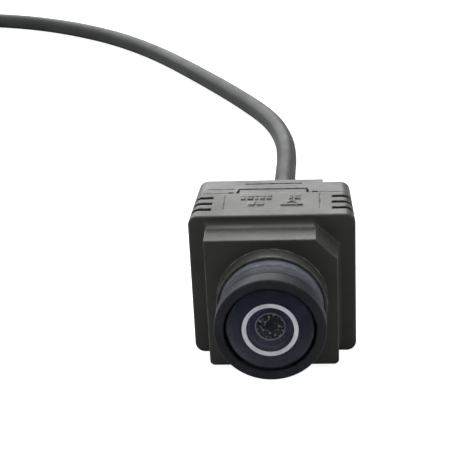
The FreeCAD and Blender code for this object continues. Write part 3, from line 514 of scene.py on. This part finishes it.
def lathe(name, outline, material, centre=(0.0, 0.0, AXIS), steps=128, degrees=32):
    """Turn an outline of (distance along Y, radius) about an axis along Y."""
    mesh = bmesh.new()
    rings = []
    for along, radius in outline:
        if radius < 1e-7:
            rings.append([mesh.verts.new((centre[0], centre[1] + along, centre[2]))])
            continue
        ring = []
        for step in range(steps):
            angle = math.tau * step / steps
            ring.append(mesh.verts.new((centre[0] + radius * math.cos(angle), centre[1] + along,
                                        centre[2] + radius * math.sin(angle))))
        rings.append(ring)
    for first, second in zip(rings, rings[1:]):
        for step in range(steps):
            ahead = (step + 1) % steps
            corners = [first[step % len(first)], first[ahead % len(first)], second[ahead % len(second)],
                       second[step % len(second)]]
            face = list(dict.fromkeys(corners))
            if len(face) > 2:
                mesh.faces.new(face)
    bmesh.ops.remove_doubles(mesh, verts=mesh.verts, dist=1e-7)
    bmesh.ops.recalc_face_normals(mesh, faces=mesh.faces)
    data = bpy.data.meshes.new(name)
    mesh.to_mesh(data)
    mesh.free()
    smooth(data, degrees)
    return add_object(name, data, material)


def closed(outline):
    return outline + [outline[0]]


def dressed(name, node, material):
    """A copy of a CAD node's shape with joined faces and clean smooth shading over its rounded edges."""
    mesh = bmesh.new()
    mesh.from_mesh(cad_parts[node].data)
    bmesh.ops.remove_doubles(mesh, verts=mesh.verts, dist=2e-7)
    data = bpy.data.meshes.new(name)
    mesh.to_mesh(data)
    mesh.free()
    data.attributes.remove(data.attributes["custom_normal"])
    smooth(data, 30)
    piece = add_object(name, data, material)
    normals = piece.modifiers.new("flat faces stay flat", "WEIGHTED_NORMAL")
    normals.keep_sharp = True
    return piece


def paint(material, *nodes):
    """Give carried-over CAD nodes their finish."""
    for node in nodes:
        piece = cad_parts[node]
        piece.data.materials.clear()
        piece.data.materials.append(material)
        smooth(piece.data, 30)


def light(name, place, aim, power, size, size_y, colour=(1, 1, 1)):
    """A rectangular area light, hidden from the view."""
    data = bpy.data.lights.new(name, "AREA")
    data.energy = power
    data.color = colour
    data.shape = "RECTANGLE"
    data.size = size
    data.size_y = size_y
    lamp = bpy.data.objects.new(name, data)
    lamp.visible_camera = False
    lamp.location = place
    lamp.rotation_euler = (Vector(aim) - Vector(place)).to_track_quat("-Z", "Y").to_euler()
    bpy.context.scene.collection.objects.link(lamp)


# ---------------------------------------------------------------- housing

def make_housing(finish):
    shell = dressed("housing_shell", "front_housing", finish["housing"])
    finish_piece(shell, "housing_plastic", "front_housing")
    cover = dressed("cover_shell", "rear_cover", finish["cover"])
    finish_piece(cover, "cover_plastic", "rear_cover")
    paint(finish["rubber"], "housing_gasket", "lens_o_ring")
    paint(finish["membrane"], "vent_membrane")


# ---------------------------------------------------------------- lens

def at(distance):
    """Place along Y at a distance in front of the plate, given in millimetres."""
    return PLATE - distance * MM


def section(*corners):
    """A rounded outline from corners of (distance in front of the plate, radius, rounding)."""
    return rounded([(at(distance), radius * MM, rounding * MM)
                    for distance, radius, rounding in corners])


def make_rim(finish):
    bore, mouth = THREAD_RADIUS + 0.02, 7.1
    rim = section(
        (RIM_BACK, bore, 0), (RIM_BACK, RIM_RADIUS, 0.2), (RIM_FACE, RIM_RADIUS, 0.32),
        (RIM_FACE, mouth, 0.15), (RIM_FACE - 0.25, LIP_RADIUS, 0.05), (LIP_BACK, LIP_RADIUS, 0),
        (LIP_BACK, bore, 0))
    finish_piece(lathe("rim_ring", closed(rim), finish["rim"]), "black_anodised", "retaining_ring")


def make_barrel(finish):
    barrel = section((LIP_BACK, GLASS_SEAT_RADIUS, 0), (LIP_BACK, THREAD_RADIUS, 0.05),
                     (RIM_BACK, THREAD_RADIUS, 0), (RIM_BACK, BARREL_RADIUS, 0.1),
                     (BAND_FRONT, BARREL_RADIUS, 0.1), (BAND_FRONT - BAND_SLOPE, BAND_RADIUS, 0.05),
                     (BAND_BACK + BAND_SLOPE, BAND_RADIUS, 0.05), (BAND_BACK, BARREL_RADIUS, 0.1),
                     (SEAL_FRONT, BARREL_RADIUS, 0.05), (SEAL_FRONT, SEAL_RADIUS, 0.05),
                     (SEAL_BACK, SEAL_RADIUS, 0.05), (SEAL_BACK, BARREL_RADIUS, 0.05),
                     (FLANGE_FRONT, BARREL_RADIUS, 0.05), (FLANGE_FRONT, FLANGE_RADIUS, 0.1),
                     (FLANGE_BACK, FLANGE_RADIUS, 0.1), (FLANGE_BACK, TAIL_RADIUS, 0.1),
                     (TAIL_BACK, TAIL_RADIUS, 0.1), (TAIL_BACK, TAIL_BORE, 0.1),
                     (STEP_BACK, TAIL_BORE, 0), (STEP_BACK, STEP_RADIUS, 0),
                     (STEP_FRONT, STEP_RADIUS, 0), (STEP_FRONT, STACK_RADIUS, 0),
                     (GLASS_BACK, STACK_RADIUS, 0), (GLASS_BACK, GLASS_SEAT_RADIUS, 0))
    finish_piece(lathe("barrel_tube", closed(barrel), finish["barrel"]), "black_anodised",
                 "lens_barrel")


def make_glass(finish):
    """Domed front glass on a shoulder, with a shallow hollow in its back inside the silver ring."""
    curve, opening = DOME_CURVE * MM, DOME_OPENING * MM
    rise = curve - math.sqrt(curve ** 2 - opening ** 2)
    centre = at(GLASS_FACE) - rise + curve
    sweep = math.asin(opening / curve)
    dome_steps, hollow_steps = 28, 14
    outline = []
    for step in range(dome_steps + 1):
        angle = sweep * step / dome_steps
        outline.append(Vector((centre - curve * math.cos(angle), curve * math.sin(angle))))
    outline += [Vector((at(LIP_BACK), opening)), Vector((at(LIP_BACK), GLASS_EDGE_RADIUS * MM)),
                Vector((at(GLASS_BACK), GLASS_EDGE_RADIUS * MM))]
    hollow = HOLLOW_CURVE * MM
    deepest = math.asin(HOLLOW_RADIUS / HOLLOW_CURVE)
    bottom = hollow * math.cos(deepest)
    for step in range(hollow_steps + 1):
        angle = deepest * (1 - step / hollow_steps)
        along = at(GLASS_BACK) - hollow * math.cos(angle) + bottom
        outline.append(Vector((along, hollow * math.sin(angle))))
    glass = lathe("front_dome", outline, finish["glass"], steps=160, degrees=30)
    finish_piece(glass, "coated_glass", "front_glass")


def make_rings(finish):
    """Silver ring under the glass, the stepped baffle inside it and the thin bead round the pupil."""
    trim = section((14.42, TRIM_INNER, 0), (14.53, TRIM_INNER, 0.02), (14.53, TRIM_OUTER, 0.02),
                   (14.42, TRIM_OUTER, 0))
    finish_piece(lathe("trim_band", closed(trim), finish["trim"]), "silver_trim", "trim_ring")
    baffle = section(
        (14.51, TRIM_INNER, 0.02), (14.51, STACK_RADIUS, 0), (BAFFLE_BACK, STACK_RADIUS, 0),
        (BAFFLE_BACK, MOUTH_RADIUS, 0), (13.98, MOUTH_RADIUS, 0.03), (14.06, 2.12, 0.03),
        (14.08, 2.45, 0.04), (14.24, 2.5, 0.04), (14.28, 2.85, 0.05), (14.44, 2.92, 0.04))
    finish_piece(lathe("baffle_cone", closed(baffle), finish["baffle"]), "black_plastic",
                 "lens_baffle")
    bead = section((14.02, 1.82, 0), (14.09, 1.86, 0.02), (14.09, 1.94, 0.02),
                   (14.0, MOUTH_RADIUS, 0))
    finish_piece(lathe("inner_bead", closed(bead), finish["bead"]), "silver_trim")


def make_second_element(finish):
    """Second element: a low crown in the baffle's mouth on a wide disc behind it."""
    crown_steps, crown_rise, crown_face, crown_radius = 12, 0.1, 14.02, 1.99
    disc_face, disc_back, disc_radius = 13.3, 11.8, 6.1
    outline = []
    for step in range(crown_steps + 1):
        height = at(crown_face - crown_rise * (step / crown_steps) ** 2)
        outline.append(Vector((height, crown_radius * MM * step / crown_steps)))
    outline += [Vector((at(disc_face), MOUTH_RADIUS * MM)), Vector((at(disc_face), disc_radius * MM)),
                Vector((at(disc_back), (disc_radius + 0.05) * MM)), Vector((at(disc_back), 0.0))]
    element = lathe("second_element", outline, finish["element"])
    finish_piece(element, "coated_glass", "lens_element_two")


def make_lens(finish):
    make_rim(finish)
    make_barrel(finish)
    make_glass(finish)
    make_rings(finish)
    make_second_element(finish)
    paint(finish["inner_glass"], "lens_element_three", "lens_element_four", "lens_element_five")
    paint(finish["filter"], "infrared_filter")
    paint(finish["black"], "front_spacer", "rear_spacer", "aperture_stop", "lens_retainer")


def make_inside(finish):
    paint(finish["black"], "sensor_holder")
    paint(finish["board"], "sensor_board", "power_board")
    paint(finish["chip"], "image_sensor", "serializer_chip", "power_parts", "board_socket",
          "board_header", "plug_insulator")
    paint(finish["steel"], "board_screws", "board_posts", "board_spacers", "shield_ferrule")
    paint(finish["brass"], "signal_core")
    paint(finish["jacket"], "cable_end")


# ---------------------------------------------------------------- boot and lead

def make_boot(finish):
    """Boot: a shoulder against the cover's neck, then rings on a long taper."""
    low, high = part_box("cable_boot")
    height = (low.z + high.z) / 2
    big, small, start, end = 4.5 * MM, 2.95 * MM, 17.0 * MM, 35.12 * MM
    plate = high.y - end
    bore, neck, flange = LEAD_RADIUS, 3.4 * MM, 4.6 * MM
    flange_face, flange_back = 11.8 * MM, 12.5 * MM
    rings, first_ring, ring_pitch = 7, 18.4, 2.3

    def skin(along):
        return big - (big - small) * (along - start) / (end - start)

    corners = [(flange_face, bore, 0), (flange_face, flange, 0.1 * MM), (flange_back, flange, 0.1 * MM),
               (flange_back, neck, 0), (start, neck, 0), (start, big, 0.3 * MM)]
    for step in range(rings):
        along = (first_ring + ring_pitch * step) * MM
        for ahead, cut in ((0.0, 0.0), (0.25, 0.45), (0.95, 0.45), (1.2, 0.0)):
            place = along + ahead * MM
            corners.append((place, skin(place) - cut * MM, 0.16 * MM))
    corners += [(end, small, 0.3 * MM), (end, bore, 0)]
    outline = [Vector((plate + point.x, point.y)) for point in rounded(corners, 4)]
    boot = lathe("lead_boot", closed(outline), finish["rubber"], (0.0, 0.0, height), 72)
    finish_piece(boot, "seal_rubber", "cable_boot")


# Middle of the lead from the boot to the coil, and from the coil to the plug, in millimetres.
LEAD_ROUTE = [
    (0.0, 26.97, 9.0), (0.0, 36.0, 9.0), (0.0, 53.0, 2.2), (0.0, 64.5, 2.2),
    (0.2, 76.0, 2.2), (-0.6, 87.5, 2.2), (-4.0, 102.0, 2.2), (-12.0, 118.5, 2.2), (-24.0, 139.5, 2.2),
    (-38.5, 163.0, 2.2), (-53.0, 181.0, 2.2), (-68.0, 194.0, 2.2), (-83.5, 203.5, 2.2),
    (-100.0, 208.8, 2.3), (-118.0, 210.4, 2.6), (-134.0, 210.2, 2.9),
]
TAIL_ROUTE = [
    (-166.2, 179.0, 7.3), (-166.2, 172.0, 7.2), (-166.2, 166.0, 5.9), (-166.2, 160.0, 5.7),
]


def ease(angle, start, over=40.0):
    """Smooth step from 0 to 1 over some degrees after a start."""
    part = min(max((angle - start) / over, 0.0), 1.0)
    return part * part * (3 - 2 * part)


# Angles along the coil, in degrees, at which it starts to move inward, up and outward again.
INWARD, UPWARD, OUTWARD = 320, 640, 960


def coil_points(turns):
    """Coil two turns wide and two high. It changes radius or height, never both at once."""
    low, high = COIL_BOX
    centre_x, centre_y = (low.x + high.x) / 2, (low.y + high.y) / 2
    outer = (high.x - low.x) / 2 - LEAD_RADIUS
    inner = outer - 2 * LEAD_RADIUS
    bottom, top = low.z + LEAD_RADIUS, high.z - LEAD_RADIUS
    per_turn = 24
    grow = 1 / math.cos(math.pi / per_turn)
    points = []
    for step in range(1, round(turns * per_turn)):
        angle = 360.0 * step / per_turn
        radius = outer - (outer - inner) * (ease(angle, INWARD) - ease(angle, OUTWARD))
        height = bottom + (top - bottom) * ease(angle, UPWARD)
        turn = math.radians(90 + angle)
        reach = radius * grow
        points.append((centre_x + reach * math.cos(turn), centre_y + reach * math.sin(turn), height))
    return points


def in_metres(route):
    return [tuple(value * MM for value in point) for point in route]


def make_lead(lead, finish):
    points = in_metres(LEAD_ROUTE) + coil_points(lead.turns) + in_metres(TAIL_ROUTE)
    curve = bpy.data.curves.new("lead", "CURVE")
    curve.dimensions = "3D"
    curve.bevel_depth = LEAD_RADIUS
    curve.bevel_resolution = 9
    curve.resolution_u = 10
    curve.use_fill_caps = True
    spline = curve.splines.new("NURBS")
    spline.points.add(len(points) - 1)
    for control, point in zip(spline.points, points):
        control.co = (*point, 1.0)
    spline.order_u = 3
    spline.use_endpoint_u = True
    cord = add_object("lead", curve, finish["jacket"])
    finish_piece(cord, "lead_jacket", "cable", "cable_coil", "cable_tail")
    return cord


def make_tie(finish):
    """Strap round the four strands of the coil, with its free end lapped on top."""
    low, high = COIL_BOX
    centre = Vector(((low.x + high.x) / 2, (low.y + high.y) / 2, 0))
    inner, outer = 19.6 * MM, 28.4 * MM
    middle = (inner + outer) / 2
    thick, bevel = 0.55 * MM, 1.6 * MM
    place_angle, half_angle = math.radians(135), math.radians(6.5)
    wrap = rounded([
        (middle, high.z, 0), (outer, high.z, bevel), (outer, low.z, bevel), (inner, low.z, bevel),
        (inner, high.z, bevel), (middle, high.z, 0), (outer - 0.2 * MM, high.z + thick, 0.5 * MM),
        (outer + 0.35 * MM, high.z - 3.2 * MM, 0),
    ], 6)
    mesh = bmesh.new()
    columns = []
    across = 9
    for point in wrap:
        column = []
        for step in range(across):
            angle = place_angle + half_angle * (2 * step / (across - 1) - 1)
            place = (centre.x + point.x * math.cos(angle), centre.y + point.x * math.sin(angle), point.y)
            column.append(mesh.verts.new(place))
        columns.append(column)
    for first, second in zip(columns, columns[1:]):
        for step in range(across - 1):
            mesh.faces.new((first[step], first[step + 1], second[step + 1], second[step]))
    bmesh.ops.recalc_face_normals(mesh, faces=mesh.faces)
    data = bpy.data.meshes.new("coil_strap")
    mesh.to_mesh(data)
    mesh.free()
    strap = add_object("coil_strap", data, finish["strap"])
    shell = strap.modifiers.new("thickness", "SOLIDIFY")
    shell.thickness = thick
    shell.offset = 1.0
    edge = strap.modifiers.new("edge", "BEVEL")
    edge.width = 0.12 * MM
    edge.segments = 2
    smooth(data, 50)
    return finish_piece(strap, "tie_strap", "coil_tie")


# ---------------------------------------------------------------- plug

PLUG_HEIGHT = 5.7 * MM
# Sleeve of the plug: distance behind its mouth, radius and rounding of each corner, in millimetres.
PLUG_SLEEVE = [
    (20.0, 2.6, 0), (20.0, 4.2, 0.3), (22.0, 4.0, 0.3), (23.0, 3.5, 0.2), (24.0, 3.75, 0.2),
    (25.0, 3.3, 0.2), (26.0, 3.45, 0.2), (27.0, 3.0, 0.2), (29.0, 2.9, 0.3), (29.0, 2.2, 0),
    (23.0, 2.2, 0), (23.0, 2.6, 0),
]


def make_plug(finish):
    centre = Vector(((PLUG_BOX[0].x + PLUG_BOX[1].x) / 2, PLUG_BOX[0].y, PLUG_HEIGHT))
    shell = dressed("plug_shell", "plug_housing", finish["plug"])
    finish_piece(shell, "plug_plastic", "plug_housing")
    lever = dressed("latch_arm", "latch_lever", finish["plug"])
    finish_piece(lever, "plug_plastic", "latch_lever", body="latch")
    lock = dressed("lock_bar", "lock_slide", finish["lock"])
    finish_piece(lock, "lock_plastic", "lock_slide", body="lock")
    boot = rounded([tuple(value * MM for value in corner) for corner in PLUG_SLEEVE])
    sleeve = lathe("plug_sleeve", closed(boot), finish["rubber"], centre, 64)
    finish_piece(sleeve, "plug_plastic", "plug_boot")
    paint(finish["brass"], "plug_contact", "plug_pin")
    paint(finish["steel"], "plug_ferrule")
    paint(finish["jacket"], "plug_lead")
    return [shell, lever, lock, sleeve]


# ---------------------------------------------------------------- stage

def make_floor():
    """Pale floor that shows white but throws only a little light back at the piece."""
    material, tree, shader = new_material("pale floor", Base_Color=(0.42, 0.42, 0.42, 1),
                                          Roughness=0.7, Emission_Color=(1, 1, 1, 1))
    grains = use_group(tree, bpy.data.node_groups["Fine grain"], Scale=400.0, Roughness=0.7,
                       Spread=0.02)
    tree.links.new(grains.outputs["Roughness"], shader.inputs["Roughness"])
    seen = add_node(tree, "ShaderNodeLightPath").outputs["Is Camera Ray"]
    glow = add_node(tree, "ShaderNodeMath", {"operation": "MULTIPLY"}, _0=seen, _1=0.92)
    tree.links.new(glow.outputs[0], shader.inputs["Emission Strength"])
    mesh = bmesh.new()
    bmesh.ops.create_grid(mesh, x_segments=8, y_segments=8, size=4.0)
    data = bpy.data.meshes.new("floor")
    mesh.to_mesh(data)
    mesh.free()
    floor = add_object("floor", data, material)
    floor.location.z = -0.02 * MM


def make_world():
    """White to look at, dim as a light."""
    world = bpy.data.worlds.new("soft surround")
    world.use_nodes = True
    tree = world.node_tree
    background = tree.nodes["Background"]
    background.inputs["Color"].default_value = (0.95, 0.97, 1.0, 1)
    seen = add_node(tree, "ShaderNodeLightPath").outputs["Is Camera Ray"]
    strength = add_node(tree, "ShaderNodeMapRange", _0=seen, _3=0.38, _4=1.05)
    tree.links.new(strength.outputs[0], background.inputs["Strength"])
    bpy.context.scene.world = world


# Eye: to the right, in front of the plate and above the floor in millimetres, then pitch, yaw and roll.
VIEW_PLACE = (8.38, 179.89, 101.98)
VIEW_ANGLES = (24.23, -4.41, -2.75)


def make_view(stage):
    """Eye in front, a little to the right and above, looking down at the lens."""
    data = bpy.data.cameras.new("view")
    data.lens = stage.lens
    data.sensor_width = 36.0
    data.clip_start, data.clip_end = 0.01, 20.0
    eye = bpy.data.objects.new("view", data)
    across, ahead, above = VIEW_PLACE
    eye.location = (across * MM, PLATE - ahead * MM, above * MM)
    pitch, yaw, roll = (math.radians(angle) for angle in VIEW_ANGLES)
    turn = Matrix.Rotation(-yaw, 4, "Z")
    tilt = Matrix.Rotation(math.pi / 2 - pitch, 4, "X")
    lean = Matrix.Rotation(roll, 4, "Z")
    eye.rotation_euler = (turn @ tilt @ lean).to_euler()
    bpy.context.scene.collection.objects.link(eye)
    bpy.context.scene.camera = eye


def make_lights(stage):
    light("rear", (-0.40, 1.05, 0.62), (0.0, 0.0, 0.0), stage.key_power, 1.4, 0.8)
    light("top", (0.0, 0.15, 0.95), (0.0, 0.0, 0.0), 9.0, 0.8, 0.8)
    light("left", (-0.60, -0.10, 0.26), (0.0, 0.0, 0.01), 0.45, 0.70, 0.46, (0.80, 0.92, 1.0))
    light("right", (0.60, -0.10, 0.26), (0.0, 0.0, 0.01), 0.45, 0.70, 0.46)
    bpy.context.scene.view_settings.view_transform = "Standard"


# ---------------------------------------------------------------- operators

FINISH = {}


class CAMERA_OT_stage(bpy.types.Operator):
    """Make the finishes, the floor, the soft light and the view"""

    bl_idname = "backup_camera.stage"
    bl_label = "Stage and finishes"

    def execute(self, context):
        scene = context.scene
        FINISH.update(make_materials(scene.backup_surface, scene.backup_lead))
        make_floor()
        make_world()
        make_lights(scene.backup_stage)
        make_view(scene.backup_stage)
        return {"FINISHED"}


class CAMERA_OT_lead(bpy.types.Operator):
    """Lay the lead on the floor, wind its spare length into a coil and tie it"""

    bl_idname = "backup_camera.lead"
    bl_label = "Lead and coil"

    def execute(self, context):
        make_lead(context.scene.backup_lead, FINISH)
        make_tie(FINISH)
        return {"FINISHED"}


class CAMERA_OT_housing(bpy.types.Operator):
    """Finish the front housing, the rear cover and their seals"""

    bl_idname = "backup_camera.housing"
    bl_label = "Housing and cover"

    def execute(self, context):
        make_housing(FINISH)
        return {"FINISHED"}


class CAMERA_OT_lens(bpy.types.Operator):
    """Turn the barrel, rim, domed glass and the pieces that show through it"""

    bl_idname = "backup_camera.lens"
    bl_label = "Lens"

    def execute(self, context):
        make_lens(FINISH)
        return {"FINISHED"}


class CAMERA_OT_inside(bpy.types.Operator):
    """Finish the boards, chips, posts and screws"""

    bl_idname = "backup_camera.inside"
    bl_label = "Boards and screws"

    def execute(self, context):
        make_inside(FINISH)
        return {"FINISHED"}


class CAMERA_OT_boot(bpy.types.Operator):
    """Turn the ringed boot where the lead leaves the cover"""

    bl_idname = "backup_camera.boot"
    bl_label = "Boot"

    def execute(self, context):
        make_boot(FINISH)
        return {"FINISHED"}


class CAMERA_OT_plug(bpy.types.Operator):
    bl_idname = "backup_camera.plug"
    bl_label = "Plug"

    def execute(self, context):
        pieces = make_plug(FINISH)
        return {"FINISHED"}


class VIEW3D_PT_backup_camera(bpy.types.Panel):
    """Sidebar panel with the camera's settings and steps"""

    bl_idname = "VIEW3D_PT_backup_camera"
    bl_label = "Backup camera"
    bl_space_type = "VIEW_3D"
    bl_region_type = "UI"
    bl_category = "Backup camera"

    def draw(self, context):
        scene = context.scene
        for group in (scene.backup_surface, scene.backup_lead, scene.backup_stage):
            for name in group.__annotations__:
                self.layout.prop(group, name)
        for operator in OPERATORS:
            self.layout.operator(operator.bl_idname)


OPERATORS = (CAMERA_OT_stage, CAMERA_OT_lead, CAMERA_OT_housing, CAMERA_OT_lens, CAMERA_OT_inside,
             CAMERA_OT_boot, CAMERA_OT_plug)
CLASSES = (SurfaceSettings, LeadSettings, StageSettings, *OPERATORS, VIEW3D_PT_backup_camera)


def register():
    for item in CLASSES:
        bpy.utils.register_class(item)
    bpy.types.Scene.backup_surface = bpy.props.PointerProperty(type=SurfaceSettings)
    bpy.types.Scene.backup_lead = bpy.props.PointerProperty(type=LeadSettings)
    bpy.types.Scene.backup_stage = bpy.props.PointerProperty(type=StageSettings)


def unregister():
    del bpy.types.Scene.backup_surface
    del bpy.types.Scene.backup_lead
    del bpy.types.Scene.backup_stage
    for item in reversed(CLASSES):
        bpy.utils.unregister_class(item)


def main():
    register()
    bpy.ops.backup_camera.stage()
    bpy.ops.backup_camera.lead()
    bpy.ops.backup_camera.housing()
    bpy.ops.backup_camera.lens()
    bpy.ops.backup_camera.inside()
    bpy.ops.backup_camera.boot()
    bpy.ops.backup_camera.plug()


if __name__ == "__main__":
    main()
